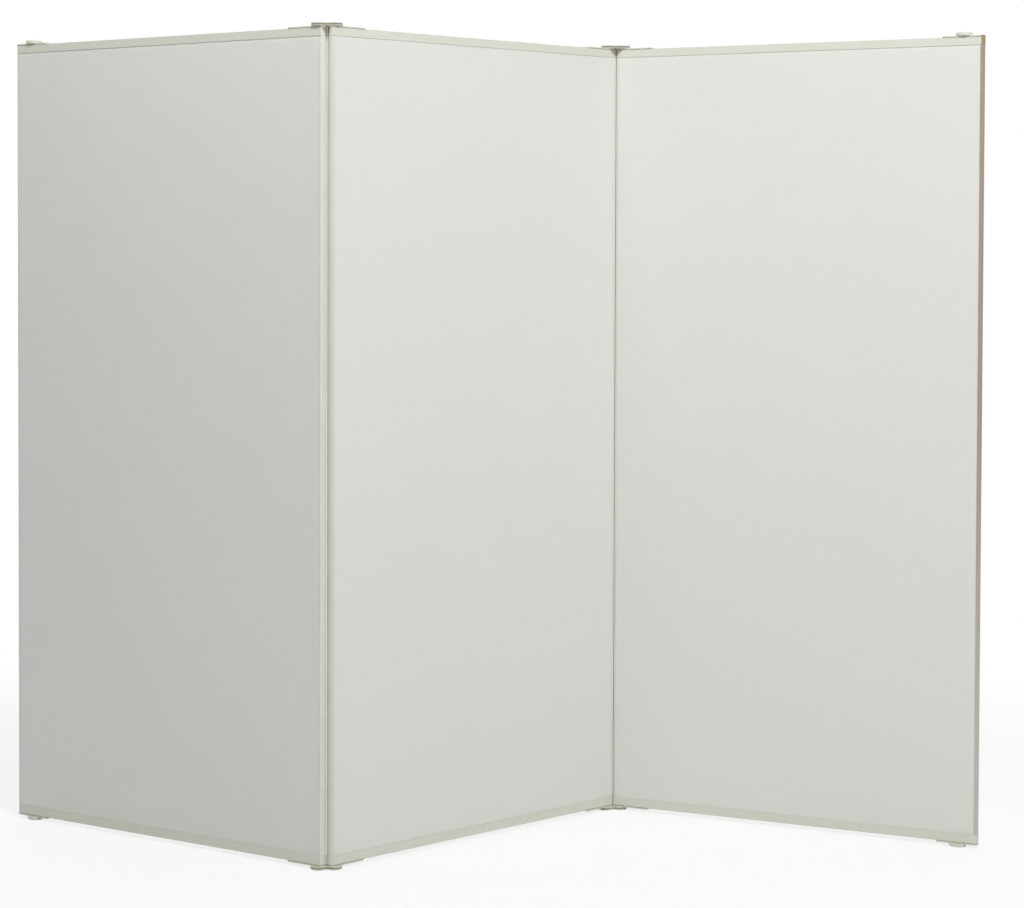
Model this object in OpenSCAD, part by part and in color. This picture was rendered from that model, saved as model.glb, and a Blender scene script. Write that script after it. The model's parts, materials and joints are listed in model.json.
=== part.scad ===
// Folding partition of three fabric-covered panels on geared double-pivot hinges.
// It stands in its zigzag pose: X runs along the screen, Y away from the viewer, Z up.
// The origin is on the floor, in the middle of the footprint's box.

/* [Screen] */
// Overall height, from the floor to the top of the fittings
screen_h = 1700; // [1200:10:2100]
// Width of each panel over the noses of its edge profiles
panel_w = 800; // [400:10:1200]
// Thickness of a panel over its rails and edge profiles
panel_t = 22; // [18:0.2:26.4]

/* [Standing pose] */
// Turn of the middle panel out of the line of the screen, in degrees
middle_yaw = 39; // [20:0.5:60]
// Angle between the left and the middle panel, counted from straight, in degrees
left_fold = 71; // [20:0.5:110]
// Angle between the right and the middle panel, counted from straight, in degrees
right_fold = 63.5; // [20:0.5:110]

/* [Rails and edge profiles] */
// Height of a top rail
top_rail_h = 17; // [15:0.5:30]
// Height of a bottom rail
bottom_rail_h = 19; // [15:0.5:30]
// Thickness of the web across a rail
rail_web_t = 1.5; // [1:0.1:2.5]
// Thickness of the lips that hold the fabric's border
lip_t = 0.9; // [0.6:0.1:1.5]
// Wall of an edge profile
edge_wall_t = 1.6; // [1:0.1:2.5]
// Flat strip of an edge profile, between the rail's end and the round of its nose
edge_flat_w = 1; // [0.5:0.1:3]
// Reach of an edge profile's lips over the fabric
edge_lip_w = 2; // [1:0.5:8]

/* [Fabric] */
// Thickness of the fabric with its backing
fabric_t = 1; // [0.4:0.1:1.5]

/* [Corner caps] */
// Length of a cap, from the panel's end to the end of its plate
cap_len = 85; // [80:1:120]
// Thickness of the plate that lies on the rail
cap_plate_t = 3; // [3:0.1:5]
// Cut-off corner at the end of the plate
cap_chamfer = 3; // [1:0.5:6]
// How far a cap's nose stands out past the edge profile
cap_proud = 0.3; // [0.2:0.1:0.8]
// Height of the tongue inside the rail
tongue_h = 8; // [6:0.5:9.5]
// How far the tongue ends short of the plate
tongue_setback = 6; // [3:0.5:8]
// Wall round the pivot bore, where the plate and the tongue are joined through the rail
bore_wall = 1.4; // [1:0.1:2.5]
// Floor left under the pivot bore
bore_floor = 0.6; // [0.4:0.1:2]
// Floor left under the socket of a gear's key
key_floor = 0.6; // [0.4:0.1:1.2]
// Place of the middle screw and of an end disc, from the panel's end
middle_screw_s = 42.5; // [40:0.5:48]
// Place of the far screw, from the end of the plate
far_screw_inset = 13; // [10:0.5:16]

/* [Geared hinges] */
// Teeth of each hinge gear, an odd number
gear_teeth = 19; // [17:2:23]
// Module of the hinge gears
gear_module = 1.6; // [1.5:0.05:1.95]
// Thickness of a gear's toothed rim
gear_t = 2; // [1.6:0.1:4]
// Radius of the hub between a gear and its cap
hub_r = 5.5; // [5:0.1:8]
// Width of the square key under the hub
key_w = 6.6; // [6:0.1:7.4]
// Thickness of the link plate next to the cap
inner_link_t = 1.4; // [1:0.1:3]
// Thickness of the outer link plate
outer_link_t = 2.2; // [2:0.1:4]
// How far a link plate reaches past the gear teeth
link_rim = 0.2; // [0.1:0.1:1]
// Width of a link plate at its waist
waist_w = 22; // [18:0.5:26]
// Radius of the hollow on each side of the waist
waist_hollow_r = 8; // [7:0.5:9]
// Gap between the caps of two hinged panels, the same at each angle
nose_gap = 0.6; // [0.5:0.1:3]

/* [End discs] */
// Radius of the disc on a free corner
disc_r = 17; // [12:0.5:19]
// Chamfer on the disc's rim
disc_chamfer = 1; // [0.5:0.1:2]

/* [Screws] */
// Radius of a pivot screw's shank in the cap
pivot_r = 2; // [1.5:0.1:2.5]
// Radius of its shoulder in the outer link plate
shoulder_r = 3; // [2.8:0.1:3.5]
// Radius of its head
pivot_head_r = 5; // [4.2:0.1:6]
// Thickness of its head
pivot_head_t = 1; // [0.6:0.1:1.2]
// How deep its head lies in the outer link plate
pivot_head_recess = 0.2; // [0.1:0.1:0.4]
// Radius of a cap screw's shank
cap_screw_r = 1.75; // [1.5:0.05:2]
// Radius of its countersunk head
cap_screw_head_r = 3.5; // [3:0.1:4]
// Height of that head
cap_screw_head_h = 1.8; // [1.4:0.1:2.2]
// Room between a screw's tip and the bottom of the pivot bore
screw_tip_room = 0.5; // [0.3:0.1:1.5]
// Width of the cross recess in a screw's head
recess_w = 0.9; // [0.6:0.1:1.2]
// Depth of that recess
recess_depth = 0.6; // [0.3:0.1:0.7]

/* [Clearances] */
// Gap round pieces that are pushed together
fit_gap = 0.1; // [0.05:0.01:0.2]
// Gap round a shank, a shoulder or a hub in its hole
running_gap = 0.05; // [0.02:0.01:0.1]
// Gap between faces that slide over each other
slide_gap = 0.3; // [0.2:0.05:0.4]
// Play between the flanks of two gears in mesh
backlash = 0.4; // [0.2:0.05:0.6]

/* [Hidden] */
$fn = 96;
over = 1; // how far a cutting shape runs past what it cuts

// Height of the stack of fittings above or below a rail, and the panel between two stacks
stack_h = cap_plate_t + inner_link_t + gear_t + outer_link_t + 3 * slide_gap;
bottom_face_z = stack_h;
top_face_z = screen_h - stack_h;

// Levels in the stack, counted outwards from the rail's face
inner_link_w = cap_plate_t + slide_gap;
gear_w = inner_link_w + inner_link_t + slide_gap;
outer_link_w = gear_w + gear_t + slide_gap;
pivot_head_w = stack_h - pivot_head_recess - pivot_head_t;

// Hinge gears and pivots
pivot_pitch = gear_module * gear_teeth; // from one pivot to the other
pitch_r = pivot_pitch / 2;
tip_r = pitch_r + gear_module;
root_r = pitch_r - 1.25 * gear_module;
pressure_angle = 20;
base_r = pitch_r * cos(pressure_angle);
lobe_r = tip_r + link_rim;
link_web_half_w = waist_w / 2 + gear_module; // before the hollows cut it down to the waist

// Section of a panel
half_t = panel_t / 2;
cap_half = half_t + cap_proud;
inside_half = half_t - lip_t; // between the lips and the middle
fabric_face = inside_half - fit_gap;
core_half = fabric_face - fabric_t;

// Noses, round about the pivots, so that two hinged panels roll past each other
cap_nose_r = (pivot_pitch - nose_gap) / 2;
edge_nose_r = cap_nose_r - cap_proud;
round_x = sqrt(edge_nose_r ^ 2 - half_t ^ 2); // from the pivot to where the round starts
pivot_u = panel_w / 2 - edge_nose_r;
end_u = pivot_u + round_x - edge_flat_w; // where the rails end, from the panel's middle
nose_len = panel_w / 2 - end_u;
pivot_x = end_u - pivot_u; // inboard of the rail's end
bridge_half_w = pivot_r + running_gap + bore_wall;
bridge_x = pivot_x + bridge_half_w;
filling_half_w = end_u - 2 * fit_gap;
rail_hollow_h = tongue_h + 2 * fit_gap;
filling_z0 = bottom_face_z + rail_web_t + rail_hollow_h;
filling_z1 = top_face_z - rail_web_t - rail_hollow_h;

// Tongue of a cap inside its rail, and the screws that end in it
tongue_half_w = inside_half - fit_gap;
tongue_top = -rail_web_t - fit_gap;
tongue_bottom = tongue_top - tongue_h;
bore_bottom = tongue_bottom + bore_floor;
screw_tip = bore_bottom + screw_tip_room;

// Places along a cap, from the rail's end
plate_x = cap_len - nose_len;
tongue_x = plate_x - tongue_setback;
middle_screw_x = middle_screw_s - nose_len;
far_screw_x = plate_x - far_screw_inset;

// Turn of each panel and link about Z
LEFT = 0;
MIDDLE = 1;
RIGHT = 2;
PANEL = ["left_panel", "middle_panel", "right_panel"];
yaw = [middle_yaw - left_fold, middle_yaw, middle_yaw - right_fold];
left_link_yaw = middle_yaw - left_fold / 2;
right_link_yaw = middle_yaw - right_fold / 2;

function along(angle) = [cos(angle), sin(angle)];

// Plan of the pivots, with the middle panel's middle at zero
left_inner_pivot = -pivot_u * along(middle_yaw);
right_inner_pivot = pivot_u * along(middle_yaw);
left_outer_pivot = left_inner_pivot - pivot_pitch * along(left_link_yaw);
right_outer_pivot = right_inner_pivot + pivot_pitch * along(right_link_yaw);
left_middle = left_outer_pivot - pivot_u * along(yaw[LEFT]);
right_middle = right_outer_pivot + pivot_u * along(yaw[RIGHT]);

// Footprint's box, whose middle is the origin
foot_x0 = left_middle.x - pivot_u * cos(yaw[LEFT]) - cap_nose_r;
foot_x1 = right_middle.x + pivot_u * cos(yaw[RIGHT]) + cap_nose_r;
foot_y0 = min(left_inner_pivot.y, left_outer_pivot.y) - lobe_r;
foot_y1 = max(right_inner_pivot.y, right_outer_pivot.y) + lobe_r;
shift = -[foot_x0 + foot_x1, foot_y0 + foot_y1] / 2;
middle_of = [left_middle + shift, shift, right_middle + shift];
left_link_at = (left_inner_pivot + left_outer_pivot) / 2 + shift;
right_link_at = (right_inner_pivot + right_outer_pivot) / 2 + shift;

// Colours
fabric_colour = [0.86, 0.86, 0.83];
rail_colour = [0.84, 0.84, 0.80];
cap_colour = [0.84, 0.83, 0.75];
gear_colour = [0.80, 0.78, 0.66];
board_colour = [0.72, 0.60, 0.44];
steel_colour = [0.62, 0.62, 0.62];

SIDES = ["left", "right"]; // edges and corners of a panel, seen from the front
LEVELS = ["bottom", "top"];
HINGES = ["left_hinge", "right_hinge"];

// A corner has a hinge if it isn't on one of the screen's two free ends
function is_hinged(panel, side) = panel == MIDDLE || (panel == LEFT) == (side == 1);

function corner_name(panel, side, level, piece) =
    str(PANEL[panel], "_", LEVELS[level], "_", SIDES[side], "_", piece);

function fitting_name(panel, side, level) =
    corner_name(panel, side, level, is_hinged(panel, side) ? "gear" : "disc");

PANEL_PIECES = ["core", "front_fabric", "back_fabric", "bottom_rail", "top_rail",
    "left_edge", "right_edge", "cap_screws", "pivot_screws"];

// Involute gear: half of a tooth's angle at a radius, then the outline of all teeth
function involute(angle) = tan(angle) * 180 / PI - angle;
tooth_half = 90 / gear_teeth - backlash / 4 / pitch_r * 180 / PI;
function half_at(r) =
    tooth_half + involute(pressure_angle) - involute(acos(base_r / max(r, base_r)));
flank_radii = [root_r, base_r, (base_r + pitch_r) / 2, pitch_r, (pitch_r + tip_r) / 2, tip_r];
function polar(r, angle) = [r * cos(angle), r * sin(angle)];
gear_outline = [
    for (tooth = [0:gear_teeth - 1], flank = [-1, 1], i = [0:len(flank_radii) - 1])
        let (r = flank_radii[flank < 0 ? i : len(flank_radii) - 1 - i])
            polar(r, 360 / gear_teeth * tooth + flank * half_at(r))
];

// Places its children on a panel: X along it, Y across it, Z from the floor
module on_panel(panel) {
    translate([middle_of[panel].x, middle_of[panel].y, 0])
        rotate([0, 0, yaw[panel]])
            children();
}

// Places its children on a corner: X inwards from the rail's end, Z out from the rail
module on_corner(panel, side, level) {
    on_panel(panel)
        translate([(2 * side - 1) * end_u, 0, level == 1 ? top_face_z : bottom_face_z])
            mirror([side, 0, 0])
                mirror([0, 0, 1 - level])
                    children();
}

// Places its children on a hinge: X along the link, Z out from the rails' faces
module on_hinge(hinge, level) {
    at = hinge == 0 ? left_link_at : right_link_at;
    translate([at.x, at.y, level == 1 ? top_face_z : bottom_face_z])
        rotate([0, 0, hinge == 0 ? left_link_yaw : right_link_yaw])
            mirror([0, 0, 1 - level])
                children();
}

// A box between two corners
module block(low, high) {
    translate(low) cube(high - low);
}

// A square-cornered hole or pillar about the Z axis
module square_post(width, low, high) {
    block([-width / 2, -width / 2, low], [width / 2, width / 2, high]);
}

// A round hole or pillar about the Z axis
module post(r, low, high) {
    translate([0, 0, low]) cylinder(r = r, h = high - low);
}

// Particle board inside a panel
module panel_core(panel) {
    color(board_colour)
        on_panel(panel)
            block([-filling_half_w, -core_half, filling_z0], [filling_half_w, core_half, filling_z1]);
}

// Fabric stretched over one side of the board: facing is -1 in front and 1 behind
module panel_fabric(panel, facing) {
    near = facing < 0 ? -fabric_face : core_half;
    color(fabric_colour)
        on_panel(panel)
            block([-filling_half_w, near, filling_z0], [filling_half_w, near + fabric_t, filling_z1]);
}

// Channel along the top or the bottom of a panel
module panel_rail(panel, level) {
    height = level == 1 ? top_rail_h : bottom_rail_h;
    rail_end_u = end_u - fit_gap;
    color(rail_colour)
        difference() {
            on_panel(panel)
                translate([0, 0, level == 1 ? top_face_z : bottom_face_z])
                    mirror([0, 0, 1 - level])
                        difference() {
                            block([-rail_end_u, -half_t, -height], [rail_end_u, half_t, 0]);
                            block([-end_u, -inside_half, -height - over],
                                [end_u, inside_half, -rail_web_t]);
                        }
            for (side = [0:1])
                on_corner(panel, side, level) rail_openings();
        }
}

// What a cap needs cut in the rail's web: the bridge's slot and two screw holes
module rail_openings() {
    slot_half_w = bridge_half_w + fit_gap;
    block([-over, -slot_half_w, -rail_web_t - over], [bridge_x + fit_gap, slot_half_w, over]);
    for (x = [middle_screw_x, far_screw_x])
        translate([x, 0, 0]) post(cap_screw_r + fit_gap, -rail_web_t - over, over);
}

// Profile along a panel's upright edge: a hollow nose, with lips over the fabric
module panel_edge(panel, side) {
    low = bottom_face_z + bottom_rail_h + fit_gap;
    high = top_face_z - top_rail_h - fit_gap;
    color(rail_colour)
        on_panel(panel)
            translate([(2 * side - 1) * end_u, 0, 0])
                mirror([side, 0, 0])
                    difference() {
                        union() {
                            nose(edge_nose_r, half_t, low, high);
                            block([-edge_flat_w / 2, -half_t, low], [edge_lip_w, half_t, high]);
                        }
                        nose_hollow(low - over, high + over);
                        block([0, -inside_half, low - over], [edge_lip_w + over, inside_half, high + over]);
                    }
}

// Nose on a panel's end: a slice of a round bar about the pivot, cut flat on both faces
module nose(r, half, low, high) {
    intersection() {
        translate([pivot_x, 0, 0]) post(r, low, high);
        block([-r, -half, low - over], [0, half, high + over]);
    }
}

// Hollow of the edge profile, behind the wall that faces the board
module nose_hollow(low, high) {
    half = half_t - edge_wall_t;
    intersection() {
        translate([pivot_x, 0, 0]) post(edge_nose_r - edge_wall_t, low, high);
        block([-edge_nose_r, -half, low - over], [-edge_wall_t, half, high + over]);
    }
}

// Moulded cap of a corner: a nose over the edge profile, a plate on the rail, a tongue in it
module corner_cap(panel, side, level) {
    height = level == 1 ? top_rail_h : bottom_rail_h;
    color(cap_colour)
        on_corner(panel, side, level)
            difference() {
                union() {
                    nose(cap_nose_r, cap_half, -height, cap_plate_t);
                    cap_plate();
                    block([-over, -bridge_half_w, tongue_bottom], [bridge_x, bridge_half_w, over]);
                    block([-over, -tongue_half_w, tongue_bottom], [tongue_x, tongue_half_w, tongue_top]);
                }
                if (is_hinged(panel, side))
                    translate([pivot_x, 0, 0]) pivot_seat();
                for (x = [middle_screw_x, far_screw_x])
                    translate([x, 0, 0]) screw_hole(cap_plate_t);
            }
}

// Pivot bore and key socket in the cap of a hinged corner
module pivot_seat() {
    post(pivot_r + running_gap, bore_bottom, cap_plate_t + over);
    square_post(key_w + 2 * fit_gap, key_floor, cap_plate_t + over);
}

// Plate of a cap, as wide as the nose, with its two inner corners cut off
module cap_plate() {
    linear_extrude(cap_plate_t)
        polygon([
            [-over, -cap_half],
            [plate_x - cap_chamfer, -cap_half],
            [plate_x, -cap_half + cap_chamfer],
            [plate_x, cap_half - cap_chamfer],
            [plate_x - cap_chamfer, cap_half],
            [-over, cap_half]
        ]);
}

// Countersunk hole right through the tongue, for a screw head that lies flush at this level
module screw_hole(seat) {
    post(cap_screw_r + running_gap, tongue_bottom - over, seat + over);
    translate([0, 0, seat - cap_screw_head_h])
        cylinder(
            r1 = cap_screw_r + running_gap,
            r2 = cap_screw_head_r + running_gap,
            h = cap_screw_head_h
        );
    post(cap_screw_head_r + running_gap, seat, seat + over);
}

// Countersunk screw with a cross recess
module cap_screw(seat) {
    difference() {
        union() {
            post(cap_screw_r, screw_tip, seat - cap_screw_head_h);
            translate([0, 0, seat - cap_screw_head_h])
                cylinder(r1 = cap_screw_r, r2 = cap_screw_head_r, h = cap_screw_head_h);
        }
        cross_recess(cap_screw_head_r, seat);
    }
}

// Cross cut in a screw's head
module cross_recess(head_r, seat) {
    arm = 0.6 * head_r;
    half = recess_w / 2;
    block([-arm, -half, seat - recess_depth], [arm, half, seat + over]);
    block([-half, -arm, seat - recess_depth], [half, arm, seat + over]);
}

// The eight screws that hold a panel's four caps
module panel_cap_screws(panel) {
    color(steel_colour)
        for (side = [0:1], level = [0:1])
            on_corner(panel, side, level) {
                translate([far_screw_x, 0, 0]) cap_screw(cap_plate_t);
                translate([middle_screw_x, 0, 0])
                    cap_screw(is_hinged(panel, side) ? cap_plate_t : stack_h);
            }
}

// Shoulder screws on the pivots of a panel's hinged corners
module panel_pivot_screws(panel) {
    color(steel_colour)
        for (side = [0:1], level = [0:1])
            if (is_hinged(panel, side))
                on_corner(panel, side, level)
                    translate([pivot_x, 0, 0]) pivot_screw();
}

module pivot_screw() {
    difference() {
        union() {
            post(pivot_r, screw_tip, gear_w + gear_t + slide_gap / 2);
            post(shoulder_r, gear_w + gear_t, pivot_head_w + pivot_head_t / 2);
            post(pivot_head_r, pivot_head_w, pivot_head_w + pivot_head_t);
        }
        cross_recess(pivot_head_r, pivot_head_w + pivot_head_t);
    }
}

// Gear on a hinged corner, keyed to its cap. Of two gears in mesh, the middle panel's
// has a tooth and the other a gap on the line through both pivots when the panels are in line.
module hinge_gear(panel, side, level) {
    color(gear_colour)
        on_corner(panel, side, level)
            translate([pivot_x, 0, 0])
                difference() {
                    union() {
                        translate([0, 0, gear_w])
                            linear_extrude(gear_t)
                                rotate(panel == MIDDLE ? 180 : 0) polygon(gear_outline);
                        post(hub_r, cap_plate_t, gear_w + gear_t / 2);
                        square_post(key_w, key_floor + fit_gap, cap_plate_t + slide_gap);
                    }
                    post(pivot_r + running_gap, 0, stack_h);
                }
}

// Disc on a free corner, as high as the hinges: a foot below and its twin above
module end_disc(panel, side, level) {
    color(gear_colour)
        on_corner(panel, side, level)
            translate([middle_screw_x, 0, 0])
                difference() {
                    rotate_extrude()
                        polygon([
                            [0, cap_plate_t],
                            [disc_r, cap_plate_t],
                            [disc_r, stack_h - disc_chamfer],
                            [disc_r - disc_chamfer, stack_h],
                            [0, stack_h]
                        ]);
                    screw_hole(stack_h);
                }
}

// Solid of a link plate: two round lobes and a waist between them
module link_plate(low, high) {
    hollow_y = waist_w / 2 + waist_hollow_r;
    difference() {
        union() {
            for (x = [-pitch_r, pitch_r])
                translate([x, 0, 0]) post(lobe_r, low, high);
            block([-pitch_r, -link_web_half_w, low], [pitch_r, link_web_half_w, high]);
        }
        for (y = [-hollow_y, hollow_y])
            translate([0, y, 0]) post(waist_hollow_r, low - over, high + over);
    }
}

// Link plate between the caps and the gears, turning on the gears' hubs
module inner_plate(hinge, level) {
    high = inner_link_w + inner_link_t;
    color(cap_colour)
        on_hinge(hinge, level)
            difference() {
                link_plate(inner_link_w, high);
                for (x = [-pitch_r, pitch_r])
                    translate([x, 0, 0]) post(hub_r + running_gap, inner_link_w - over, high + over);
            }
}

// Outer link plate, turning on the shoulders of the pivot screws
module outer_plate(hinge, level) {
    color(cap_colour)
        on_hinge(hinge, level)
            difference() {
                link_plate(outer_link_w, stack_h);
                for (x = [-pitch_r, pitch_r])
                    translate([x, 0, 0]) {
                        post(shoulder_r + running_gap, outer_link_w - over, stack_h + over);
                        post(pivot_head_r + slide_gap, pivot_head_w - slide_gap, stack_h + over);
                    }
            }
}

for (panel = [0:2]) {
    name = PANEL[panel];
    panel_core(panel);
    panel_fabric(panel, -1);
    panel_fabric(panel, 1);
    panel_rail(panel, 0);
    panel_rail(panel, 1);
    panel_edge(panel, 0);
    panel_edge(panel, 1);
    panel_cap_screws(panel);
    panel_pivot_screws(panel);
    for (side = [0:1], level = [0:1]) {
        corner_cap(panel, side, level);
        if (is_hinged(panel, side)) hinge_gear(panel, side, level);
        if (!is_hinged(panel, side)) end_disc(panel, side, level);
    }
}
for (hinge = [0:1], level = [0:1]) {
    name = str(HINGES[hinge], "_", LEVELS[level]);
    inner_plate(hinge, level);
    outer_plate(hinge, level);
}
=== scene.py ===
import json
import math

import bmesh
import bpy
from mathutils import Matrix, Vector, noise


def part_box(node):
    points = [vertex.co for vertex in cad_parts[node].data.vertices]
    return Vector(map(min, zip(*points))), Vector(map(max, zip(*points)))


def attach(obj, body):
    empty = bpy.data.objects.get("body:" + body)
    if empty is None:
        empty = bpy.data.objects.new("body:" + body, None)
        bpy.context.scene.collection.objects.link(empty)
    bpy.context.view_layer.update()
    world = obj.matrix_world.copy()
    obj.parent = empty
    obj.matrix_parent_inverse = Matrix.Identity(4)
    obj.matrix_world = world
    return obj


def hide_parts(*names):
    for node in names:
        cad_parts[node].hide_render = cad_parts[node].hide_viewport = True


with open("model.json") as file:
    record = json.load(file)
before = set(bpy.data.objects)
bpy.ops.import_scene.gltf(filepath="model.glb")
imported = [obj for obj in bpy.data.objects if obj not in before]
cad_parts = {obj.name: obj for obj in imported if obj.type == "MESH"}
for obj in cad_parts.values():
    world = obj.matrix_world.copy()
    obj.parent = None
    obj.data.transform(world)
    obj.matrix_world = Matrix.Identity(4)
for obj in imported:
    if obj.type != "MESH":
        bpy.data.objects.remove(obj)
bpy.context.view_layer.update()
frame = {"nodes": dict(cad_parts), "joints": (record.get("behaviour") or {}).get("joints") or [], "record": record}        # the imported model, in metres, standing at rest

bl_info = {
    "name": "Folding Screen",
    "version": (1, 0, 0),
    "blender": (4, 5, 0),
    "location": "View3D > Sidebar > Screen",
    "description": "Finishes a three-panel folding screen with fabric, plastic and steel",
    "category": "Object",
}

MM = 0.001

# Names of the parts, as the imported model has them
PANELS = ("left_panel", "middle_panel", "right_panel")
SHADED_END_EDGE = "right_panel_right_edge"  # the free end, whose edge profile is painted in shade
# the free corner's cap, whose nose is painted in shade
SHADED_END_CAP = "right_panel_top_right_cap"


# ---------------------------------------------------------------- where things are


def nodes_ending(*endings):
    """The names of the model's nodes that end so, in order."""
    return sorted(name for name in frame["nodes"] if name.endswith(endings))


def body_of(node):
    """The moving body that a node belongs to."""
    bodies = frame["record"]["behaviour"]["bodies"]
    return next(body for body, members in bodies.items() if node in members)


def slot_of(node):
    """The finish that the record gives a node."""
    return next(p["material_slot"] for p in frame["record"]["subparts"] if p["node"] == node)


def pivot(joint):
    """A joint's place in the standing screen."""
    return Vector(next(j["pos_m"] for j in frame["joints"] if j["name"] == joint))


def middle_of(node):
    """The middle of a node's box."""
    low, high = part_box(node)
    return (Vector(low) + Vector(high)) / 2


def panel_ends(panel):
    """Two points on a panel's middle line, left and right: hinge pivots or end discs."""
    return {
        "left_panel": (middle_of("left_panel_top_left_disc"), pivot("left_panel_turn")),
        "middle_panel": (pivot("left_link_turn"), pivot("right_link_turn")),
        "right_panel": (pivot("right_panel_turn"), middle_of("right_panel_top_right_disc")),
    }[panel]


def panel_turn(panel):
    """A panel's turn about Z, in radians."""
    left, right = panel_ends(panel)
    return math.atan2(right.y - left.y, right.x - left.x)


def panel_place(panel):
    """The matrix from panel coordinates, X along it and Y to its back, to the screen's."""
    middle = middle_of(f"{panel}_core")
    middle.z = 0
    return Matrix.Translation(middle) @ Matrix.Rotation(panel_turn(panel), 4, "Z")


def extent_on(panel, node):
    """The lowest and highest corner of a node in panel coordinates."""
    inwards = panel_place(panel).inverted()
    points = [inwards @ v.co for v in frame["nodes"][node].data.vertices]
    axes = list(zip(*points))
    return Vector(min(axis) for axis in axes), Vector(max(axis) for axis in axes)


# ---------------------------------------------------------------- shader nodes


class Wire:
    """A value in a shader. Sums and products of numbers add the Math nodes that work them out."""

    def __init__(self, graph, socket):
        self.graph = graph
        self.socket = socket

    def __add__(self, other):
        return self.graph.math("ADD", self, other)

    def __radd__(self, other):
        return self.graph.math("ADD", other, self)

    def __sub__(self, other):
        return self.graph.math("SUBTRACT", self, other)

    def __rsub__(self, other):
        return self.graph.math("SUBTRACT", other, self)

    def __mul__(self, other):
        return self.graph.math("MULTIPLY", self, other)

    def __rmul__(self, other):
        return self.graph.math("MULTIPLY", other, self)


class Graph:
    """The node tree of a material or a world."""

    def __init__(self, tree, output_kind):
        self.tree = tree
        tree.nodes.clear()
        self.output = tree.nodes.new(output_kind)

    def plug(self, socket, value):
        """Sets a socket to a number, a colour or a vector, or links a wire to it."""
        if isinstance(value, Wire):
            self.tree.links.new(value.socket, socket)
        elif value is not None:
            socket.default_value = value

    def node(self, kind, settings=None, inputs=None, output=0):
        """Adds a node with its settings, such as an operation, and its sockets' values or wires."""
        made = self.tree.nodes.new(kind)
        for name, value in (settings or {}).items():
            setattr(made, name, value)
        for name, value in (inputs or {}).items():
            self.plug(made.inputs[name], value)
        return Wire(self, made.outputs[output])

    def math(self, operation, *values):
        """A Math node's result."""
        inputs = dict(enumerate(values))
        return self.node("ShaderNodeMath", {"operation": operation}, inputs)

    def sine(self, angle):
        return self.math("SINE", angle)

    def size_of(self, value):
        """A number without its sign."""
        return self.math("ABSOLUTE", value)

    def blend_in(self, value, low, high):
        """0 where a number is below low, 1 above high and smooth between."""
        settings = {"interpolation_type": "SMOOTHSTEP"}
        inputs = {"Value": value, "From Min": low, "From Max": high}
        return self.node("ShaderNodeMapRange", settings, inputs)

    def place(self, uv=None):
        """Where a point is: on the piece's own map, or in the object, in metres."""
        if uv:
            return self.node("ShaderNodeUVMap", {"uv_map": uv})
        return self.node("ShaderNodeTexCoord", output="Object")

    def split(self, point):
        """A point's three numbers."""
        apart = self.node("ShaderNodeSeparateXYZ", inputs={"Vector": point}).socket.node
        return [Wire(self, socket) for socket in apart.outputs]

    def stretched(self, point, scale):
        """A point moved apart by a scale for each axis."""
        settings = {"operation": "MULTIPLY"}
        return self.node("ShaderNodeVectorMath", settings, {0: point, 1: scale})

    def cloud(self, point, scale, detail=2.0, roughness=0.5):
        """Soft noise from 0 to 1, with its grains about 1 / scale metres apart."""
        inputs = {"Vector": point, "Scale": scale, "Detail": detail, "Roughness": roughness}
        return self.node("ShaderNodeTexNoise", inputs=inputs)

    def tint(self, factor, first, second):
        """A colour from first to second."""
        inputs = {"Factor": factor, "A": first, "B": second}
        made = self.node("ShaderNodeMix", {"data_type": "RGBA"}).socket.node
        for name, value in inputs.items():
            kind = "VALUE" if name == "Factor" else "RGBA"
            socket = next(s for s in made.inputs if s.name == name and s.type == kind)
            self.plug(socket, value)
        return Wire(self, next(s for s in made.outputs if s.type == "RGBA"))

    def relief(self, height, depth):
        """A surface normal from a height of 0 to 1 that stands for a depth in metres."""
        inputs = {"Height": height, "Distance": depth, "Strength": 1.0}
        return self.node("ShaderNodeBump", inputs=inputs)

    def white_where_seen(self, shader, share=1.0):
        """Mixes white into what the camera, mirrors and glass see, and leaves the light alone."""
        rays = ("Is Camera Ray", "Is Glossy Ray", "Is Transmission Ray")
        camera, mirror, glass = (self.node("ShaderNodeLightPath", output=ray) for ray in rays)
        seen = self.math("MAXIMUM", camera, self.math("MAXIMUM", mirror, glass))
        white = self.node("ShaderNodeEmission", inputs={"Color": (1, 1, 1, 1), "Strength": 1.0})
        both = self.node("ShaderNodeMixShader", inputs={0: seen * share, 1: shader, 2: white})
        self.plug(self.output.inputs["Surface"], both)


class Finish(Graph):
    """A material, with the Principled shader that its nodes feed."""

    def __init__(self, name):
        self.material = bpy.data.materials.new(name)
        self.material.use_nodes = True
        super().__init__(self.material.node_tree, "ShaderNodeOutputMaterial")
        self.shader = self.tree.nodes.new("ShaderNodeBsdfPrincipled")
        self.plug(self.output.inputs["Surface"], Wire(self, self.shader.outputs["BSDF"]))

    def surface(self, **sockets):
        """Sets the shader's sockets, named with underscores, and gives the material."""
        for name, value in sockets.items():
            title = name.replace("_", " ").title().replace("Ior", "IOR")
            self.plug(self.shader.inputs[title], value)
        return self.material


def opaque(colour):
    """A property's colour with its alpha."""
    return (*colour, 1.0)


def darker(colour, share):
    """A colour dimmed to a share of itself, with its alpha."""
    return (*(share * part for part in colour), 1.0)


# ---------------------------------------------------------------- finishes

CLOTH_MAP = "Cloth"  # the sheets' own map: metres across and metres up
HOLLOW_MAP = "Hollows"  # the gears' own map: depth below the tooth tips, and height, in metres
PANEL_MAP = "Panel"  # the caps' and rails' own map: metres along the panel from its middle, and up

# The heights of the rails' outer faces, and how far from a panel's middle its end's nose and a
# cap's plate begin
RAIL_FACES = (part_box("middle_panel_bottom_rail")[0][2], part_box("middle_panel_top_rail")[1][2])
NOSE_START = extent_on("right_panel", SHADED_END_EDGE)[0].x
PLATE_START = extent_on("right_panel", SHADED_END_CAP)[0].x

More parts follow.
